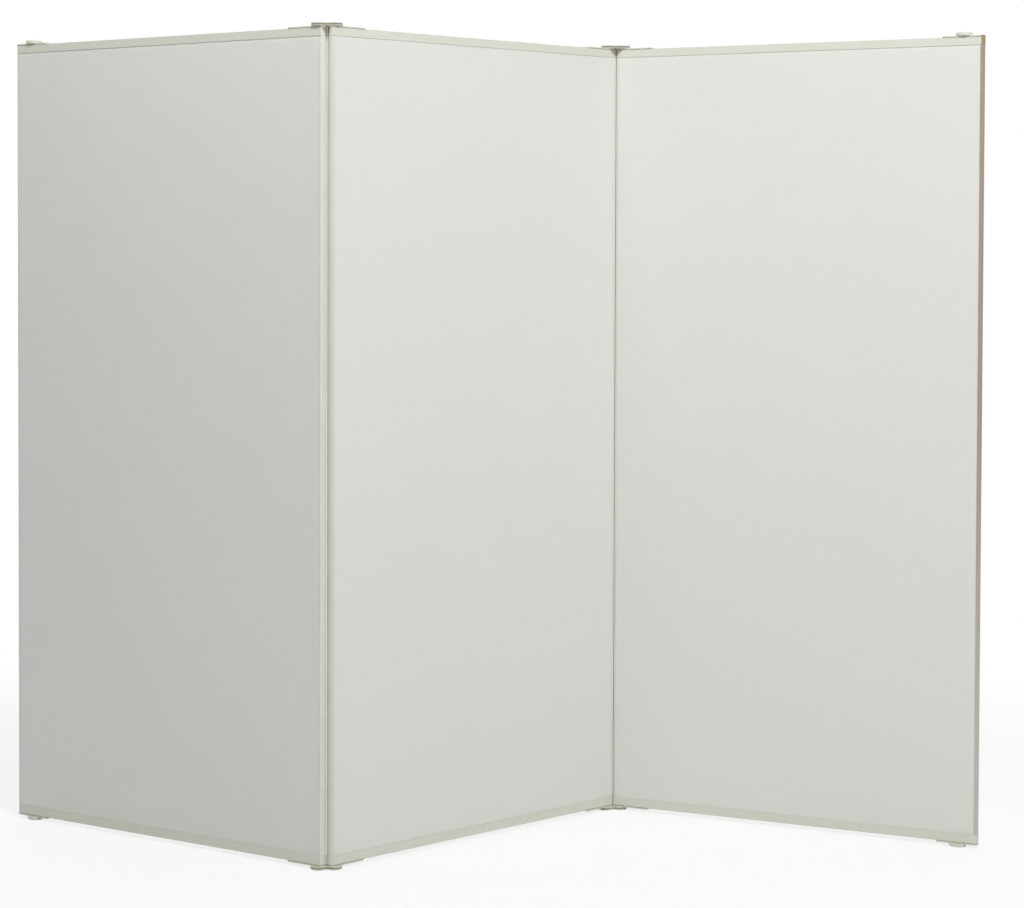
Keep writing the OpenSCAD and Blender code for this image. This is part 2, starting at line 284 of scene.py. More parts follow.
# The fabric: sizes in threads or in grains to a metre, limits of noise, shares of its colour
STRAY_THREADS = 30  # a thread strays by up to one pitch within so many threads
SPECKLE_THREADS = 2.5
FABRIC_PATCH_GRAINS = 3.0
SLUB_NOISE = (0.56, 0.74)
NUBS_ALONG_SLUB = 2.2
NUBS_UP_SLUB = 2.0
PALEST_FABRIC = 1.03
DULLEST_FABRIC = 0.965
SLUB_FABRIC = 0.93
GAP_FABRIC = 0.72
GAP_STRENGTH = 0.10  # how far the gaps between the threads darken
PATCH_SHADE, SPECKLE_SHADE, NUB_SHADE = 0.50, 0.25, 0.25  # shares of the shading
WEAVE_HEIGHT, SLUB_HEIGHT, NUB_HEIGHT = 0.55, 0.3, 0.15  # shares of the relief
FABRIC_ROUGHNESS = 0.90
SPECKLE_ROUGHNESS = 0.06  # how much the speckle adds to it
FABRIC_SHEEN = 0.12
FABRIC_SHEEN_ROUGHNESS = 0.5


def fabric_finish(cloth):
    """Off-white plain weave with faint slubs that lie across the panel."""
    finish = Finish("Fabric")
    point = finish.place(CLOTH_MAP)
    across, up, _ = finish.split(point)
    pitch = cloth.thread_pitch

    stray = finish.cloud(point, 1 / (STRAY_THREADS * pitch)) * pitch
    warp_wave = finish.sine((across + stray) * (math.pi / pitch))
    weft_wave = finish.sine((up + stray) * (math.pi / pitch))
    over = 0.5 + 0.5 * warp_wave * weft_wave
    weave = finish.size_of(warp_wave) * over + finish.size_of(weft_wave) * (1.0 - over)

    slub_cells = (1 / cloth.slub_length, 1 / cloth.slub_height, 1.0)
    nub_cells = (NUBS_ALONG_SLUB / cloth.slub_length, NUBS_UP_SLUB / cloth.slub_height, 1.0)
    thickening = finish.cloud(finish.stretched(point, slub_cells), 1.0, detail=1.0)
    slubs = finish.blend_in(thickening, *SLUB_NOISE)
    nubs = finish.cloud(finish.stretched(point, nub_cells), 1.0, detail=2.0)
    speckle = finish.cloud(point, 1 / (SPECKLE_THREADS * pitch), detail=1.0)
    patches = finish.cloud(point, FABRIC_PATCH_GRAINS, detail=3.0)

    shade = PATCH_SHADE * patches + SPECKLE_SHADE * speckle + NUB_SHADE * nubs
    palest = tuple(min(1.0, PALEST_FABRIC * part) for part in cloth.colour)
    ground = finish.tint(shade, darker(cloth.colour, DULLEST_FABRIC), opaque(palest))
    threads = finish.tint(cloth.slub_strength * slubs, ground, darker(cloth.colour, SLUB_FABRIC))
    gaps = GAP_STRENGTH * (1.0 - weave)
    height = WEAVE_HEIGHT * weave + SLUB_HEIGHT * slubs + NUB_HEIGHT * nubs
    return finish.surface(
        base_color=finish.tint(gaps, threads, darker(cloth.colour, GAP_FABRIC)),
        roughness=FABRIC_ROUGHNESS + SPECKLE_ROUGHNESS * speckle,
        normal=finish.relief(height, cloth.relief_depth),
        sheen_weight=FABRIC_SHEEN,
        sheen_roughness=FABRIC_SHEEN_ROUGHNESS,
    )


# Plastic: sizes in grains to a metre, limits of noise, lengths in metres
YELLOW_GRAINS = 9.0
YELLOW_NOISE = (0.35, 0.75)
YELLOW_STRENGTH = 0.4
SMUDGE_GRAINS = 60.0
SMUDGE_NOISE = (0.5, 0.8)
DUST_STRENGTH = 0.04
FLOOR_DUST_STRENGTH = 0.12  # how much more dust there is just above the floor
FLOOR_DUST_TOP = 0.07
DUST_SHADE = 0.55  # share of the aged colour that is left under dust
SATIN_GRAINS = 1600.0
SCRATCH_GRAINS = 420.0
SCRATCH_SHORTENING = 0.12  # upright scratches are longer than wide by its inverse
SATIN_HEIGHT, SCRATCH_HEIGHT = 0.7, 0.3  # shares of the relief
PLASTIC_RELIEF = 0.02 * MM
SMUDGE_ROUGHNESS = 0.10  # how much smudges add to a plastic's roughness
SATIN_ROUGHNESS = 0.06
PLASTIC_SPECULAR = 0.45


def plastic_finish(name, colour, aged, roughness, marks=()):
    """Moulded or extruded plastic: a fine satin grain, faint yellowing and a little floor dust.

    marks are functions that take the finish and its colour, and give the colour with a mark added.
    """
    finish = Finish(name)
    point = finish.place()
    height = finish.split(point)[2]
    yellow_noise = finish.cloud(point, YELLOW_GRAINS, detail=4.0, roughness=0.6)
    yellowing = YELLOW_STRENGTH * finish.blend_in(yellow_noise, *YELLOW_NOISE)
    clean = finish.tint(yellowing, opaque(colour), opaque(aged))
    smudge_noise = finish.cloud(point, SMUDGE_GRAINS, detail=4.0, roughness=0.65)
    smudges = finish.blend_in(smudge_noise, *SMUDGE_NOISE)
    near_floor = 1.0 - finish.blend_in(height, 0.0, FLOOR_DUST_TOP)
    dust = smudges * (DUST_STRENGTH + FLOOR_DUST_STRENGTH * near_floor)
    tone = finish.tint(dust, clean, darker(aged, DUST_SHADE))
    for mark in marks:
        tone = mark(finish, tone)
    satin = finish.cloud(point, SATIN_GRAINS, detail=2.0)
    upright = finish.stretched(point, (1.0, 1.0, SCRATCH_SHORTENING))
    scratches = finish.cloud(upright, SCRATCH_GRAINS, detail=3.0, roughness=0.7)
    return finish.surface(
        base_color=tone,
        roughness=roughness + SMUDGE_ROUGHNESS * smudges + SATIN_ROUGHNESS * satin,
        normal=finish.relief(SATIN_HEIGHT * satin + SCRATCH_HEIGHT * scratches, PLASTIC_RELIEF),
        specular_ior_level=PLASTIC_SPECULAR,
    )


# Marks on the plastic, several of them painted shade: strengths from 0 to 1, lengths in metres
END_SHADE_AT_FLOOR = 0.45  # strength of the painted shade on the free end at the floor; it is full a metre up
NOSE_FADE = 0.5 * MM  # distance along the panel over which the painted shade on a cap begins
TOOTH_GREASE_AND_SHADE_DEPTH = (1.0 * MM, 2.6 * MM)  # depth below the tips over which the grease and painted shade thicken
TOOTH_GREASE_AND_SHADE_STRENGTH = 0.8
FACE_FADE = 0.2 * MM  # distance from a rail's face over which the plates' colour begins
SEAM_REACH = (0.5 * MM, 1.2 * MM)  # distance from the seam over which the painted shade fades
SEAM_STRENGTH = 0.65
PLATE_FADE = 1 * MM  # distance along the panel over which the painted shade ends beyond a cap's plate
# The painted shadow below the upper gears: a darker wedge on the caps, rails and edge profiles
UNDER_GEARS_SHADOW_STRENGTH = 0.9
UNDER_GEARS_SHADOW_FADE = (0.7, 1.0)  # share of the way to a wedge's edge over which it fades
UNDER_GEARS_SHADOW_TOP_FADE = 0.5 * MM  # distance down from the rail's face over which it begins
# A hinge line's two pivots, then how far right of their middle the wedge under its upper gears
# is, the radius of the wedge's top, and how far below it the wedge would end in a point
UNDER_GEARS_SHADOW_WEDGES = (
    ("left_link_turn", "left_panel_turn", -4 * MM, 20 * MM, 42 * MM),
    ("right_link_turn", "right_panel_turn", -3 * MM, 23 * MM, 23 * MM),
)


def from_middle(finish):
    """How far a point of a cap or a rail is from the middle of its panel, along it."""
    return finish.size_of(finish.split(finish.place(PANEL_MAP))[0])


def painted_end_shade(end_shade, nose_only=False):
    """A mark: painted shade on the free end, a dark brown that is lighter towards the floor.

    On a cap, only the nose beyond the rail is painted so.
    """

    def mark(finish, tone):
        height = finish.split(finish.place())[2]
        shaded = END_SHADE_AT_FLOOR + (1 - END_SHADE_AT_FLOOR) * finish.blend_in(height, 0.0, 1.0)
        if nose_only:
            shaded = shaded * finish.blend_in(from_middle(finish), NOSE_START - NOSE_FADE, NOSE_START)
        return finish.tint(shaded, tone, opaque(end_shade))

    return mark


def grease_and_shade_in_gaps(darkness):
    """A mark: old grease and painted shade between a gear's teeth, darker the deeper they are, by
    the map of how deep they are.
    """

    def mark(finish, tone):
        hollow = finish.split(finish.place(HOLLOW_MAP))[0]
        greased_and_shaded = TOOTH_GREASE_AND_SHADE_STRENGTH * finish.blend_in(hollow, *TOOTH_GREASE_AND_SHADE_DEPTH)
        return finish.tint(greased_and_shaded, tone, opaque(darkness))

    return mark


def rail_face_distances(finish):
    """How far a point is above the bottom rail's outer face, and above the top rail's."""
    height = finish.split(finish.place())[2]
    return [height - face for face in RAIL_FACES]


def plate_colour(plate):
    """A mark: the part of a cap that lies beyond the rails' faces has a colour of its own."""

    def mark(finish, tone):
        below, above = rail_face_distances(finish)
        over_bottom = finish.blend_in(below, -FACE_FADE, FACE_FADE)
        over_top = finish.blend_in(above, -FACE_FADE, FACE_FADE)
        return finish.tint(1.0 - over_bottom + over_top, tone, opaque(plate))

    return mark


def shaded_seam(seam_shade):
    """A mark: painted shade lines the seam between the caps' plates and the rails."""

    def mark(finish, tone):
        below, above = rail_face_distances(finish)
        near = finish.math("MINIMUM", finish.size_of(below), finish.size_of(above))
        along = from_middle(finish)
        under_plate = finish.blend_in(along, PLATE_START - PLATE_FADE, PLATE_START)
        seam = under_plate * (1.0 - finish.blend_in(near, *SEAM_REACH))
        return finish.tint(SEAM_STRENGTH * seam, tone, opaque(seam_shade))

    return mark


def shadow_under_gears(darkness):
    """A mark: a painted shadow below the upper gears, in a wedge where two panels meet."""

    def mark(finish, tone):
        point = finish.place()
        below_gears = RAIL_FACES[1] - finish.split(point)[2]
        under = finish.blend_in(below_gears, 0.0, UNDER_GEARS_SHADOW_TOP_FADE)
        level = finish.stretched(point, (1.0, 1.0, 0.0))
        for first, second, right, radius, drop in UNDER_GEARS_SHADOW_WEDGES:
            centre = (pivot(first) + pivot(second)) / 2 + Vector((right, 0, 0))
            inputs = {0: level, 1: (centre.x, centre.y, 0)}
            away = finish.node("ShaderNodeVectorMath", {"operation": "DISTANCE"}, inputs, "Value")
            outside = away * (1 / radius) + below_gears * (1 / drop)
            wedge = under * (1.0 - finish.blend_in(outside, *UNDER_GEARS_SHADOW_FADE))
            tone = finish.tint(UNDER_GEARS_SHADOW_STRENGTH * wedge, tone, opaque(darkness))
        return tone

    return mark


# Board and screws: sizes in grains to a metre, shares of the colour, depths in metres
CHIP_GRAINS = 260.0
CHIP_FLATTENING = 0.6  # chips are taller than wide by its inverse
BOARD_PATCH_GRAINS = 120.0
DARKER_BOARD = 0.7
DARKEST_BOARD = 0.45
CHIP_STRENGTH = 0.4
BOARD_ROUGHNESS = 0.85
CHIP_ROUGHNESS = 0.1  # how much the chips add to it
BOARD_RELIEF = 0.2 * MM
SPOT_GRAINS = 700.0
SPOT_NOISE = (0.35, 0.75)
DULL_STEEL = 0.7
STEEL_ROUGHNESS = 0.28
DULL_ROUGHNESS = 0.22  # how much the dull spots add to it
STEEL_RELIEF = 0.01 * MM


def board_finish(looks):
    """Raw particle board: chips of several browns, pressed flat."""
    finish = Finish("ParticleBoard")
    point = finish.place()
    pressed = finish.stretched(point, (1.0, 1.0, CHIP_FLATTENING))
    inputs = {"Vector": pressed, "Scale": CHIP_GRAINS}
    chips = finish.node("ShaderNodeTexVoronoi", {"feature": "F1"}, inputs, "Distance")
    patches = finish.cloud(point, BOARD_PATCH_GRAINS, detail=5.0, roughness=0.7)
    ground = finish.tint(patches, darker(looks.board, DARKER_BOARD), opaque(looks.board))
    return finish.surface(
        base_color=finish.tint(CHIP_STRENGTH * chips, ground, darker(looks.board, DARKEST_BOARD)),
        roughness=BOARD_ROUGHNESS + CHIP_ROUGHNESS * chips,
        normal=finish.relief(chips, BOARD_RELIEF),
    )


def steel_finish(looks):
    """Zinc-plated steel with dull spots."""
    finish = Finish("ZincSteel")
    spots = finish.cloud(finish.place(), SPOT_GRAINS, detail=3.0)
    dull = finish.blend_in(spots, *SPOT_NOISE)
    return finish.surface(
        base_color=finish.tint(dull, opaque(looks.steel), darker(looks.steel, DULL_STEEL)),
        metallic=1.0,
        roughness=STEEL_ROUGHNESS + DULL_ROUGHNESS * dull,
        normal=finish.relief(spots, STEEL_RELIEF),
    )


# ---------------------------------------------------------------- making pieces


def add_piece(name, shape, finish, node):
    """Links a finished shape, which rides and is named as the node that it stands for."""
    mesh = bpy.data.meshes.new(name)
    shape.to_mesh(mesh)
    shape.free()
    mesh.materials.append(finish)
    piece = bpy.data.objects.new(name, mesh)
    bpy.context.scene.collection.objects.link(piece)
    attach(piece, body_of(node))
    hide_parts(node)
    slot_of(node)
    return piece


def repaint(node, finish):
    """Gives a CAD node that keeps its shape a finish of its own."""
    for slot in frame["nodes"][node].material_slots:
        slot.material = finish


SAME_PLACE = 2e-6  # metres within which two corners are one
FLAT_ANGLE = math.radians(0.3)  # below it two faces are one flat face
EDGE_ANGLE = math.radians(35)  # above it two faces meet at an edge


def whole_shape(node):
    """A copy of a node's shape, with its corners joined and its flat faces whole."""
    shape = bmesh.new()
    shape.from_mesh(frame["nodes"][node].data)
    bmesh.ops.remove_doubles(shape, verts=shape.verts, dist=SAME_PLACE)
    bmesh.ops.dissolve_limit(
        shape, angle_limit=FLAT_ANGLE, verts=shape.verts, edges=shape.edges, delimit=set()
    )
    return shape


def soften(shape, radius, segments):
    """Rounds a shape's sharp edges, as a mould or a die leaves them, and shades it smooth."""
    sharp = [e for e in shape.edges if e.is_manifold and e.calc_face_angle(0.0) > EDGE_ANGLE]
    bmesh.ops.bevel(
        shape,
        geom=sharp,
        offset=radius,
        offset_type="OFFSET",
        segments=segments,
        profile=0.5,
        affect="EDGES",
        clamp_overlap=True,
        material=-1,
    )
    # Where a bevel has no room, it leaves faces without area
    bmesh.ops.dissolve_degenerate(shape, dist=SAME_PLACE, edges=shape.edges)
    for face in shape.faces:
        face.smooth = True
    for edge in shape.edges:
        edge.smooth = edge.calc_face_angle(0.0) < EDGE_ANGLE


def add_soft_piece(node, shape, finish):
    """Adds a node's softened shape, with its flat faces kept flat beside the rounded edges."""
    piece = add_piece(f"{node}_soft", shape, finish, node)
    fit = piece.modifiers.new("Even shading", "WEIGHTED_NORMAL")
    fit.keep_sharp = True


def make_soft_piece(node, finish, radius):
    """A node's own shape with rounded edges, in a finish."""
    shape = whole_shape(node)
    soften(shape, radius, segments=2)
    add_soft_piece(node, shape, finish)


def make_gear(node, finish, radius):
    """A gear with its sharp edges broken, and a map of how deep its tooth gaps are."""
    shape = whole_shape(node)
    soften(shape, radius, segments=1)
    centre = middle_of(node).to_2d()
    tip = max((v.co.to_2d() - centre).length for v in shape.verts)
    hollows = shape.loops.layers.uv.new(HOLLOW_MAP)
    for face in shape.faces:
        upright = 1 - abs(face.normal.z)
        for loop in face.loops:
            depth = tip - (loop.vert.co.to_2d() - centre).length
            loop[hollows].uv = (upright * depth, loop.vert.co.z)
    add_soft_piece(node, shape, finish)


def make_mapped_piece(node, finish, radius):
    """A cap or a rail with rounded edges, and a map of the panel's own coordinates."""
    shape = whole_shape(node)
    soften(shape, radius, segments=2)
    inwards = panel_place(body_of(node)).inverted()
    own_map = shape.loops.layers.uv.new(PANEL_MAP)
    for face in shape.faces:
        for loop in face.loops:
            place = inwards @ loop.vert.co
            loop[own_map].uv = (place.x, place.z)
    add_soft_piece(node, shape, finish)


def spaced(half, border, step):
    """Places from -half to half: at the border's distances from each end, then a step apart."""
    near = [half - distance for distance in border]
    count = round(2 * near[-1] / step)
    between = [near[-1] * (2 * i / count - 1) for i in range(1, count)]
    return [-place for place in near] + between + near[::-1]


def ramp(value, low, high):
    """0 where a value is below low, 1 above high and smooth between."""
    share = min(1.0, max(0.0, (value - low) / (high - low)))
    return share * share * (3 - 2 * share)


BORDER_MM = (0.3, 0.8, 2, 4, 7, 11, 16, 23, 32)  # mesh lines beside an upright lip
END_MM = (0, 7.2, 8, 9, 10, 12, 15, 19, 24, 32)  # mesh lines at the top and the bottom of a sheet
HELD_REACH = 30 * MM  # distance from a rail or a lip over which the ripple begins
WAVE_SIZE = (0.16, 0.24)  # metres across and up between the broad ripples
PULL_SIZE = (0.035, 0.30)  # the same for the narrow ones that the stretching leaves
PULL_SHARE = 0.35  # how deep the narrow ripples are beside the broad ones
WAVE_SEED = 7.3
PULL_SEED = 3.1
PULL_SEED_START = 11
LIP_REACH = 0.3 * MM  # distance from an upright lip over which the fabric rises
SINK_REACH = 50 * MM  # distance from an upright lip over which it sinks again
RAIL_REACH = 9 * MM  # distance from a rail over which it rises


def fabric_lift(cloth, seed, across, up, from_side, from_rail):
    """How far the fabric's face stands off the board at a place on a sheet."""
    wave_place = (across / WAVE_SIZE[0], up / WAVE_SIZE[1], WAVE_SEED * seed)
    pull_place = (across / PULL_SIZE[0], up / PULL_SIZE[1], PULL_SEED * seed + PULL_SEED_START)
    uneven = noise.noise(Vector(wave_place)) + PULL_SHARE * noise.noise(Vector(pull_place))
    free = ramp(from_rail, 0, HELD_REACH) * ramp(from_side, 0, HELD_REACH)
    rise = cloth.rim - ramp(from_side, 0, SINK_REACH) * cloth.sink
    over_lip = ramp(from_side, 0, LIP_REACH) * rise
    ripple = free * cloth.ripple * uneven
    return cloth.thickness + ripple + ramp(from_rail, 0, RAIL_REACH) * over_lip


def make_sheet(panel, side, finish, cloth):
    """The fabric on one side of a panel, tucked under the lips and pulled flat over the board."""
    node = f"{panel}_{side}_fabric"
    low, high = extent_on(panel, node)
    width, height = high.x - low.x, high.z - low.z
    middle_z = (low.z + high.z) / 2
    side_lip = width / 2 - extent_on(panel, f"{panel}_right_edge")[0].x
    open_low = extent_on(panel, f"{panel}_bottom_rail")[1].z - middle_z
    open_high = extent_on(panel, f"{panel}_top_rail")[0].z - middle_z
    outwards = -1.0 if side == "front" else 1.0
    board_face = high.y if side == "front" else low.y
    seed = PANELS.index(panel) + (0.5 if side == "back" else 0.0)

    border = [0, side_lip, *(side_lip + distance * MM for distance in BORDER_MM)]
    columns = spaced(width / 2, border, cloth.mesh_step)
    rows = spaced(height / 2, [distance * MM for distance in END_MM], cloth.mesh_step)
    shape = bmesh.new()
    cells = {"x_segments": len(columns) - 1, "y_segments": len(rows) - 1}
    bmesh.ops.create_grid(shape, size=0.5, **cells)
    for vert in shape.verts:
        across = columns[round((vert.co.x + 0.5) * cells["x_segments"])]
        up = rows[round((vert.co.y + 0.5) * cells["y_segments"])]
        from_side = width / 2 - abs(across) - side_lip
        from_rail = min(up - open_low, open_high - up)
        lift = fabric_lift(cloth, seed, across, up, from_side, from_rail)
        vert.co = Vector((across, board_face + outwards * lift, up))
    cloth_map = shape.loops.layers.uv.new(CLOTH_MAP)
    for face in shape.faces:
        face.smooth = True
        for loop in face.loops:
            loop[cloth_map].uv = (loop.vert.co.x, loop.vert.co.z + height / 2)
    if side == "front":
        bmesh.ops.reverse_faces(shape, faces=shape.faces)
    to_screen = panel_place(panel) @ Matrix.Translation((0, 0, middle_z))
    bmesh.ops.transform(shape, matrix=to_screen, verts=shape.verts)
    piece = add_piece(f"{panel}_{side}_cloth", shape, finish, node)


# ---------------------------------------------------------------- settings


def colour_setting(name, description, default):
    """A colour property."""
    return bpy.props.FloatVectorProperty(
        name=name, description=description, subtype="COLOR", size=3, min=0, max=1, default=default
    )


def length_setting(name, description, default):
    """A length property, in metres."""
    return bpy.props.FloatProperty(
        name=name, description=description, unit="LENGTH", precision=5, default=default
    )


def angle_setting(name, description, degrees):
    """An angle property, whose default is given in degrees."""
    return bpy.props.FloatProperty(
        name=name, description=description, subtype="ANGLE", default=math.radians(degrees)
    )


def strength_setting(name, description, default):
    """The strength of light, where 1 lights a white surface white."""
    return bpy.props.FloatProperty(name=name, description=description, default=default, min=0)


def power_setting(name, description, default):
    """A lamp's power, in watts."""
    return bpy.props.FloatProperty(
        name=name, description=description, subtype="POWER", default=default, min=0
    )


class SCREEN_PG_cloth(bpy.types.PropertyGroup):
    """The fabric's colour, weave and fit."""

    colour: colour_setting("Colour", "Colour of the fabric", (0.720, 0.725, 0.685))
    thread_pitch: length_setting("Thread pitch", "Distance from thread to thread", 0.9 * MM)
    slub_length: length_setting("Slub length", "Usual length of a thick stretch of yarn", 20 * MM)
    slub_height: length_setting("Slub height", "Distance between slubs, up the panel", 2.4 * MM)
    slub_strength: bpy.props.FloatProperty(
        name="Slub strength", description="How far the slubs darken", default=0.35, min=0, max=1
    )
    relief_depth: length_setting("Relief", "Depth of the weave", 0.12 * MM)
    thickness: length_setting("Thickness", "Thickness of the fabric", 0.8 * MM)
    ripple: length_setting("Ripple", "How far the stretched fabric strays from flat", 0.25 * MM)
    rim: length_setting("Rim", "How far the fabric rises beside an upright lip", 0.95 * MM)
    sink: length_setting("Sink", "How far it sinks again towards the middle", 0.6 * MM)
    mesh_step: length_setting("Mesh step", "Size of the sheets' mesh", 12 * MM)


class SCREEN_PG_hardware(bpy.types.PropertyGroup):
    """Colours and edge rounding of everything but the fabric."""

    rail: colour_setting("Rails", "Colour of the rails", (0.650, 0.650, 0.585))
    rail_aged: colour_setting("Aged rails", "Colour of a yellowed rail", (0.630, 0.620, 0.525))
    edge: colour_setting("Edges", "Colour of the edge profiles", (0.670, 0.672, 0.620))
    edge_aged: colour_setting("Aged edges", "Colour of a yellowed edge", (0.640, 0.625, 0.540))
    # colour of the painted shade on the free end's edge profile
    edge_shaded: colour_setting("Shaded edge", "Colour of the free edge", (0.350, 0.290, 0.225))
    plate: colour_setting("Plates", "Colour of all plates and discs", (0.655, 0.658, 0.565))
    plate_aged: colour_setting("Aged plates", "Colour of a yellowed plate", (0.620, 0.605, 0.465))
    # colour of the painted shade on the free corner's cap
    cap_shaded: colour_setting("Shaded cap", "Colour of the free corner", (0.310, 0.255, 0.125))
    # colour of the painted shade in the seams
    seam_shade: colour_setting("SeamShade", "Colour of the dirt in seams", (0.150, 0.138, 0.105))
    gear: colour_setting("Gears", "Colour of the gears", (0.630, 0.625, 0.505))
    gear_aged: colour_setting("Aged gears", "Colour of a yellowed gear", (0.570, 0.545, 0.390))
    # colour of the grease and painted shade in the tooth gaps
    darkness: colour_setting("Grease", "Colour of the grease in tooth gaps", (0.060, 0.052, 0.030))
    # colour of the painted shadow below the upper gears
    shadow_under_gears: colour_setting(
        "Shadow grease", "Colour of the grease below the upper gears", (0.240, 0.225, 0.160)
    )
    board: colour_setting("Board", "Colour of the particle board", (0.480, 0.350, 0.210))
    steel: colour_setting("Steel", "Colour of the screws", (0.620, 0.620, 0.610))
    extruded_edge: length_setting("Rail edges", "Rounding of rails and edge profiles", 0.5 * MM)
    moulded_edge: length_setting("Moulded edges", "Rounding of caps, discs and plates", 0.5 * MM)
    tooth_edge: length_setting("Tooth edges", "Rounding of the gears' edges", 0.15 * MM)


class SCREEN_PG_studio(bpy.types.PropertyGroup):
    """The camera, the lights and the floor."""

    eye_height: length_setting("Eye height", "Camera above the floor", 1.242)
    eye_left: length_setting("Eye left", "Camera to the left of the middle panel", 0.223)
    eye_distance: length_setting("Eye distance", "Camera before the middle panel", 4.703)
    pitch: angle_setting("Pitch", "Tilt of the camera", -1.50)
    roll: angle_setting("Roll", "Lean of the camera", 0.10)
    floor_size: length_setting("Floor", "Side of the floor", 16.0)
    sky_up: strength_setting("Sky above", "Light from straight above", 0.15)
    sky_left: strength_setting("Sky left", "Light from the left", 0.21)
    sky_right: strength_setting("Sky right", "Light from the right", 0.16)
    sky_front: strength_setting("Sky front", "Light from the front", 0.12)
    sky_back: strength_setting("Sky behind", "Light from behind the screen", 1.30)
    key_power: power_setting("Key light", "Power of the high lamp on the right", 150)
    fill_power: power_setting("Fill light", "Power of the lamp on the left", 13)


GROUPS = {
    "screen_cloth": SCREEN_PG_cloth,
    "screen_hardware": SCREEN_PG_hardware,
    "screen_studio": SCREEN_PG_studio,
}


# ---------------------------------------------------------------- the stage

PHOTO_WIDTH, PHOTO_HEIGHT = 1024, 908  # pixels
FOCAL_PIXELS = 2227
OPTICAL_CENTRE = (372.7, 310.6)  # where the camera's axis meets the picture, in pixels
SENSOR_WIDTH = 36  # millimetres
LEVEL_TILT = math.radians(90)  # from straight down, as a camera looks unturned, to level


def place_camera(scene, studio):
    """A camera whose shift frames the screen as the photograph does."""
    data = bpy.data.cameras.new("Camera")
    data.sensor_width = SENSOR_WIDTH
    data.lens = FOCAL_PIXELS / PHOTO_WIDTH * SENSOR_WIDTH
    data.shift_x = (PHOTO_WIDTH / 2 - OPTICAL_CENTRE[0]) / PHOTO_WIDTH
    data.shift_y = (OPTICAL_CENTRE[1] - PHOTO_HEIGHT / 2) / PHOTO_WIDTH
    camera = bpy.data.objects.new("Camera", data)
    scene.collection.objects.link(camera)
    middle = middle_of("middle_panel_core")
    eye = Vector((middle.x - studio.eye_left, middle.y - studio.eye_distance, studio.eye_height))
    tilt = Matrix.Rotation(LEVEL_TILT + studio.pitch, 4, "X")
    camera.matrix_world = Matrix.Translation(eye) @ tilt @ Matrix.Rotation(studio.roll, 4, "Z")
    scene.camera = camera


KEY_PLACE = (1.4, -3.4, 4.2)  # metres
FILL_PLACE = (-1.2, -1.0, 3.2)
LAMP_TARGET = (0.2, 0.0, 1.0)
LAMP_SIZE = 0.5


def hang_light(scene, name, place, power):
    """A softbox that faces the screen's middle."""
    data = bpy.data.lights.new(name, "AREA")
    data.shape = "SQUARE"
    data.size = LAMP_SIZE
    data.energy = power
    lamp = bpy.data.objects.new(name, data)
    lamp.location = place
    aim = Vector(LAMP_TARGET) - Vector(place)
    lamp.rotation_euler = aim.to_track_quat("-Z", "Y").to_euler()
    scene.collection.objects.link(lamp)


FLOOR_CELLS = 8  # faces along a side of the floor
FLOOR_GREY = 0.9
FLOOR_ROUGHNESS = 0.85
FLOOR_PATCH_ROUGHNESS = 0.1  # how much soft patches add to it
FLOOR_PATCH_GRAINS = 4.0  # in a metre
FLOOR_WHITE = 0.75  # share of plain white near the screen; the rest is the light that falls there
FLOOR_FADE = (1.1, 2.6)  # metres from the screen's middle over which the floor turns all white


def lay_floor(scene, studio):
    """A plain pale floor that shows the shadow at the screen's feet and looks white further out."""
    shape = bmesh.new()
    half = studio.floor_size / 2
    bmesh.ops.create_grid(shape, x_segments=FLOOR_CELLS, y_segments=FLOOR_CELLS, size=half)
    mesh = bpy.data.meshes.new("Floor")
    shape.to_mesh(mesh)
    shape.free()
    finish = Finish("FloorPaint")
    point = finish.place()
    away = finish.node("ShaderNodeVectorMath", {"operation": "LENGTH"}, {0: point}, "Value")
    share = FLOOR_WHITE + (1 - FLOOR_WHITE) * finish.blend_in(away, *FLOOR_FADE)
    patches = finish.cloud(point, FLOOR_PATCH_GRAINS)
    finish.surface(
        base_color=(FLOOR_GREY, FLOOR_GREY, FLOOR_GREY, 1),
        roughness=FLOOR_ROUGHNESS + FLOOR_PATCH_ROUGHNESS * patches,
    )
    finish.white_where_seen(Wire(finish, finish.shader.outputs["BSDF"]), share)
    mesh.materials.append(finish.material)
    floor = bpy.data.objects.new("Floor", mesh)
    scene.collection.objects.link(floor)


def light_world(scene, studio):
    """Soft light from above, the sides and behind, seen as white."""
    world = bpy.data.worlds.new("Studio")
    world.use_nodes = True
    sky = Graph(world.node_tree, "ShaderNodeOutputWorld")
    right, back, up = sky.split(sky.node("ShaderNodeTexCoord", output="Generated"))
    light = (
        studio.sky_up * sky.math("MAXIMUM", up, 0)
        + studio.sky_left * sky.math("MAXIMUM", 0 - right, 0)
        + studio.sky_right * sky.math("MAXIMUM", right, 0)
        + studio.sky_front * sky.math("MAXIMUM", 0 - back, 0)
        + studio.sky_back * sky.math("MAXIMUM", back, 0)
    )
    colours = {"Color": (1, 1, 1, 1), "Strength": light}
    sky.white_where_seen(sky.node("ShaderNodeBackground", inputs=colours))
    scene.world = world


# ---------------------------------------------------------------- operators


class SCREEN_OT_studio(bpy.types.Operator):
    """Set up the camera, the lights, the floor and the white surroundings"""

    bl_idname = "screen_maker.studio"
    bl_label = "Studio"

    def execute(self, context):
        scene = context.scene
        studio = scene.screen_studio
        place_camera(scene, studio)
        lay_floor(scene, studio)
        light_world(scene, studio)
        hang_light(scene, "KeyLight", KEY_PLACE, studio.key_power)
        hang_light(scene, "FillLight", FILL_PLACE, studio.fill_power)
        scene.view_settings.view_transform = "Standard"
        return {"FINISHED"}


class SCREEN_OT_boards(bpy.types.Operator):
    """Finish the boards inside the panels"""

    bl_idname = "screen_maker.boards"
    bl_label = "Boards"

    def execute(self, context):
        finish = board_finish(context.scene.screen_hardware)
        for node in nodes_ending("_core"):
            repaint(node, finish)
        return {"FINISHED"}


